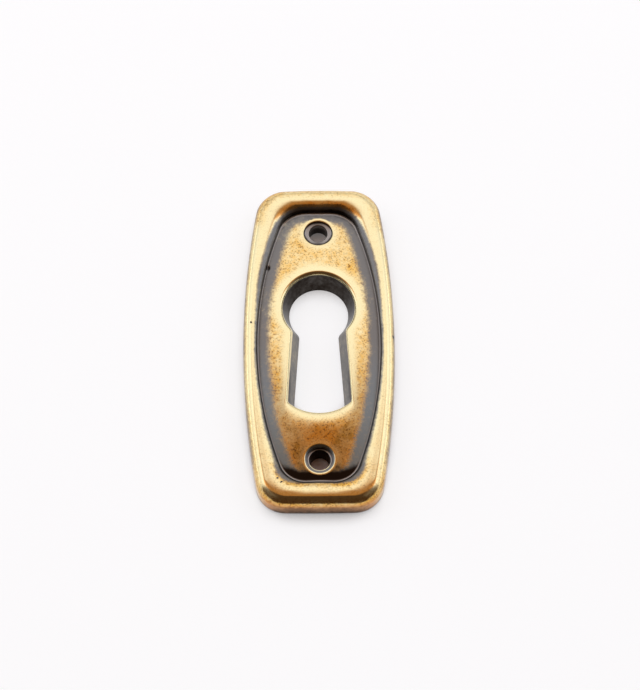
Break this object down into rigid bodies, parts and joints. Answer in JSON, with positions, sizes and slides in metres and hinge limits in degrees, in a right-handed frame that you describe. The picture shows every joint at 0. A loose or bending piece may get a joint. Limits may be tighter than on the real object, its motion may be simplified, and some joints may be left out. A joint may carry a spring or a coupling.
{
  "type": "keyhole escutcheon",
  "caption": "Cast antique-brass keyhole escutcheon: barrel-shaped plate with a rounded rim, a domed field, a flared keyhole and pin holes above and below it.",
  "frame": {"origin": "centre of the flat back", "axes": "+X across the plate, +Y along it towards the round end of the keyhole, +Z out of the face"},
  "size_m": [0.0172, 0.04, 0.0027],
  "materials": {
    "antique_brass": "cast, patinated dark and relieved to bright gold on the high places"
  },
  "bodies": {
    "root": {"escutcheon_plate": "antique_brass"}
  },
  "joints": []
}
